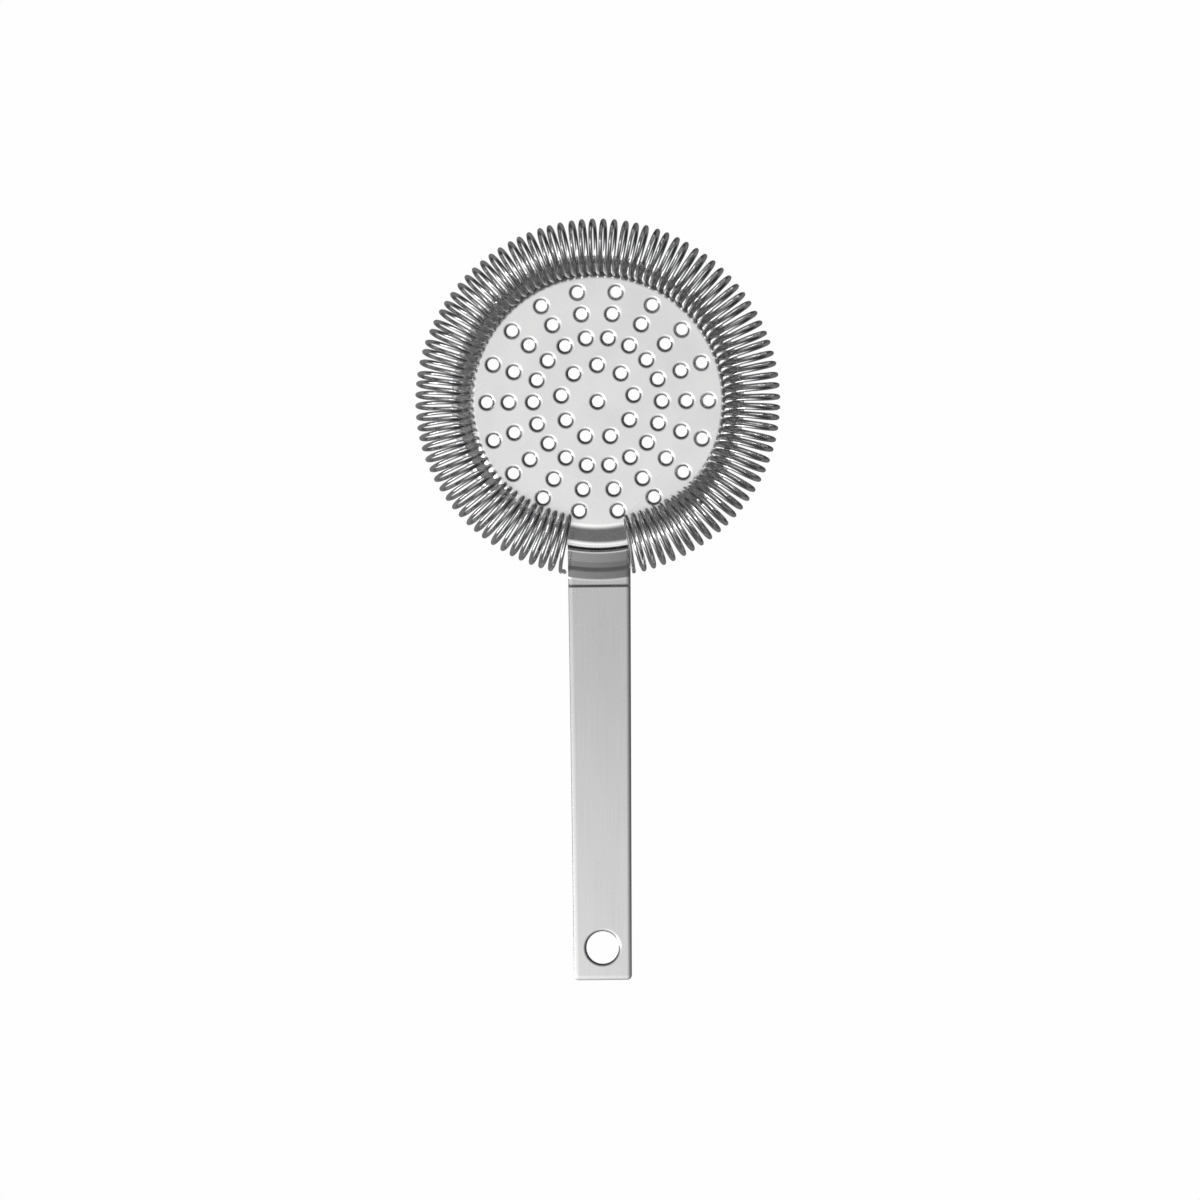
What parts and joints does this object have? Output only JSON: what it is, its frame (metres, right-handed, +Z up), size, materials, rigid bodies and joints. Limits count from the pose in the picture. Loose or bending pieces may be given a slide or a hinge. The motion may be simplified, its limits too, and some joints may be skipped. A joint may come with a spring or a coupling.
{
  "type": "hawthorne strainer",
  "caption": "Cocktail strainer: round perforated disc with a stepped rim, a long wire coil laid round it, and a flat handle strap with a hang hole.",
  "frame": {"origin": "on the surface that the handle lies on, under the middle of the whole object's box", "axes": "+Z up towards the coil side, +Y from the handle's end towards the disc's front, +X to the right seen from above"},
  "size_m": [0.0895, 0.1871, 0.0209],
  "materials": {
    "sheet_steel": "polished stainless sheet with faint brushing",
    "spring_wire": "bright drawn stainless spring wire"
  },
  "bodies": {
    "strainer": {"perforated_disc": "sheet_steel", "handle_strap": "sheet_steel"},
    "coil": {"coil_end_left": "spring_wire", "coil_end_right": "spring_wire"},
    "coil_front": {"coil_front_left": "spring_wire", "coil_front_middle": "spring_wire", "coil_front_right": "spring_wire"},
    "coil_left": {"coil_left_front": "spring_wire", "coil_left_middle": "spring_wire", "coil_left_rear": "spring_wire"},
    "coil_right": {"coil_right_front": "spring_wire", "coil_right_middle": "spring_wire", "coil_right_rear": "spring_wire"}
  },
  "joints": [
    {"name": "coil_lift", "type": "slide", "parent": "strainer", "child": "coil", "axis": [0, 0, 1], "range_m": [0, 0.03]},
    {"name": "front_press", "type": "slide", "parent": "coil", "child": "coil_front", "axis": [0, -1, 0], "range_m": [0, 0.0025], "stiffness_N_per_m": 800, "deforming": ["coil_front_left", "coil_front_middle", "coil_front_right"]},
    {"name": "left_press", "type": "slide", "parent": "coil", "child": "coil_left", "axis": [1, 0, 0], "range_m": [0, 0.0025], "stiffness_N_per_m": 800, "deforming": ["coil_left_front", "coil_left_middle", "coil_left_rear"]},
    {"name": "right_press", "type": "slide", "parent": "coil", "child": "coil_right", "axis": [-1, 0, 0], "range_m": [0, 0.0025], "stiffness_N_per_m": 800, "deforming": ["coil_right_front", "coil_right_middle", "coil_right_rear"]}
  ]
}
